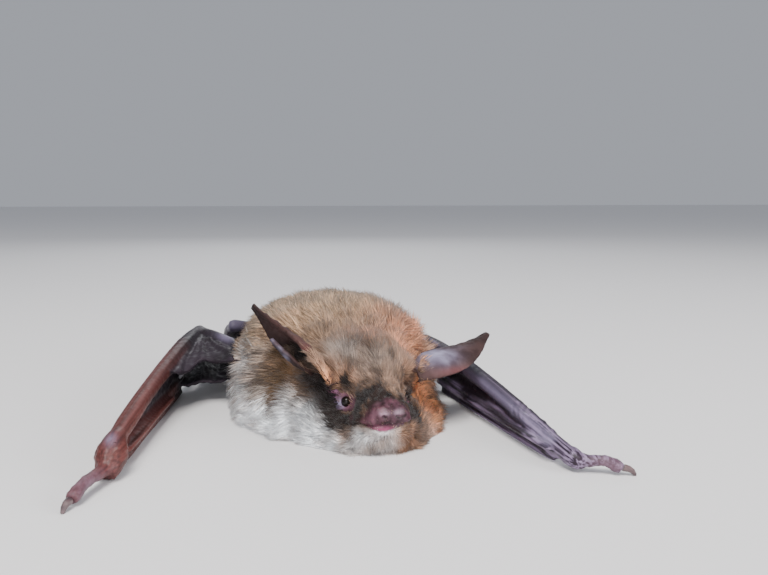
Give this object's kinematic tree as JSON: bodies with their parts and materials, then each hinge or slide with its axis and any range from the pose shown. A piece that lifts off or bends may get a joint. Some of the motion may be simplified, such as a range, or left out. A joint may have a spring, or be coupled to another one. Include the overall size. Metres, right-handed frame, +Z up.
{
  "type": "bat",
  "caption": "Life-size still model of a small mouse-eared bat crouching on its belly, forearms reaching forward, wings folded",
  "frame": {"origin": "on the floor, at the middle of the flat of the belly", "axes": "+Z up; the bat faces -Y; +X is the bat's left side"},
  "size_m": [0.0577, 0.0947, 0.0165],
  "materials": {
    "fur_back": "dense woolly coat, dark roots with buff and ochre tips",
    "fur_throat": "soft off-white coat with grey roots",
    "ear": "thin grey-brown skin, slightly translucent, satin",
    "eye": "wet glossy black",
    "wing_skin": "mahogany brown bare skin, semi-gloss, finely wrinkled",
    "membrane": "thin dark brown membrane in folds, satin",
    "claw": "translucent brown horn"
  },
  "bodies": {
    "root": {"arm_membrane_left": "membrane", "arm_membrane_right": "membrane", "ear_left": "ear", "ear_right": "ear", "eye_left": "eye", "eye_right": "eye", "finger_2_left": "wing_skin", "finger_2_right": "wing_skin", "finger_3_left": "wing_skin", "finger_3_right": "wing_skin", "finger_4_left": "wing_skin", "finger_4_right": "wing_skin", "finger_5_left": "wing_skin", "finger_5_right": "wing_skin", "foot_left": "wing_skin", "foot_right": "wing_skin", "forearm_left": "wing_skin", "forearm_right": "wing_skin", "hand_membrane_left": "membrane", "hand_membrane_right": "membrane", "head": "fur_back", "lower_jaw": "fur_throat", "neck": "fur_back", "propatagium_left": "membrane", "propatagium_right": "membrane", "shin_left": "wing_skin", "shin_right": "wing_skin", "tail": "wing_skin", "tail_membrane_left": "membrane", "tail_membrane_right": "membrane", "thigh_left": "wing_skin", "thigh_right": "wing_skin", "thumb_claw_left": "claw", "thumb_claw_right": "claw", "thumb_left": "wing_skin", "thumb_right": "wing_skin", "tragus_left": "ear", "tragus_right": "ear", "trunk": "fur_back", "upper_arm_left": "wing_skin", "upper_arm_right": "wing_skin", "wrist_left": "wing_skin", "wrist_right": "wing_skin"}
  },
  "joints": []
}
